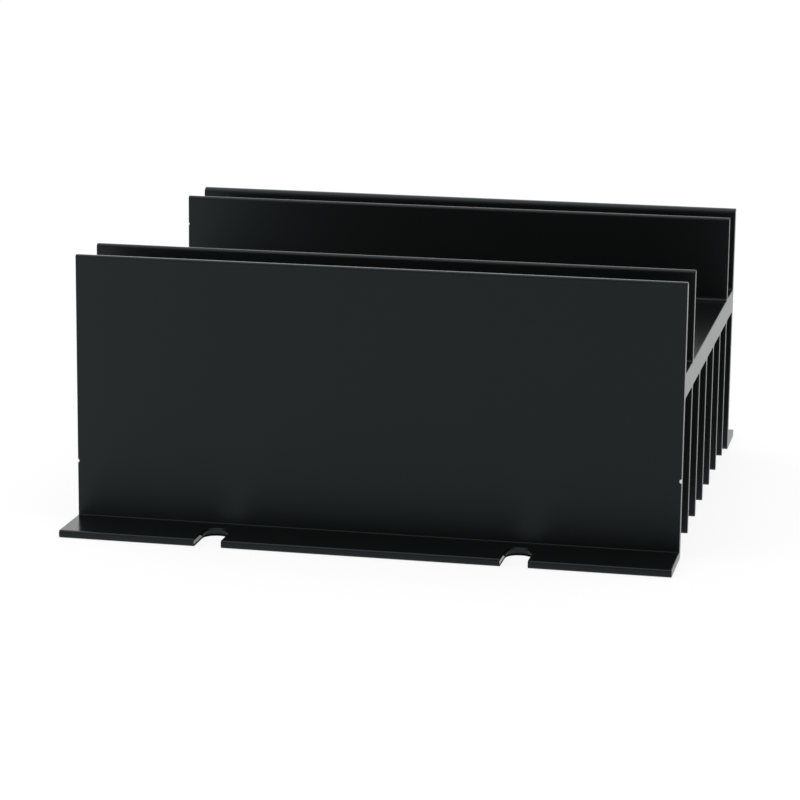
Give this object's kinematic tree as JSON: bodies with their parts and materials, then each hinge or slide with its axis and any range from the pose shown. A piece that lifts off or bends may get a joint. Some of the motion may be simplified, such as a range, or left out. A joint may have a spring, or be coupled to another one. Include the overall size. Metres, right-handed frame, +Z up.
{
  "type": "heat sink",
  "caption": "Extruded aluminium heat sink, anodised black: a raised web with fins above and below, a flat bay for a power device, and outward feet with screw notches.",
  "frame": {"origin": "middle of the underside, in the plane that the feet stand on", "axes": "+X along the extrusion, +Y across its section, +Z up from the feet to the fin tips"},
  "size_m": [0.1, 0.1014, 0.045],
  "materials": {
    "black_anodised": "satin black anodised"
  },
  "bodies": {
    "root": {"heat_sink": "black_anodised"}
  },
  "joints": []
}
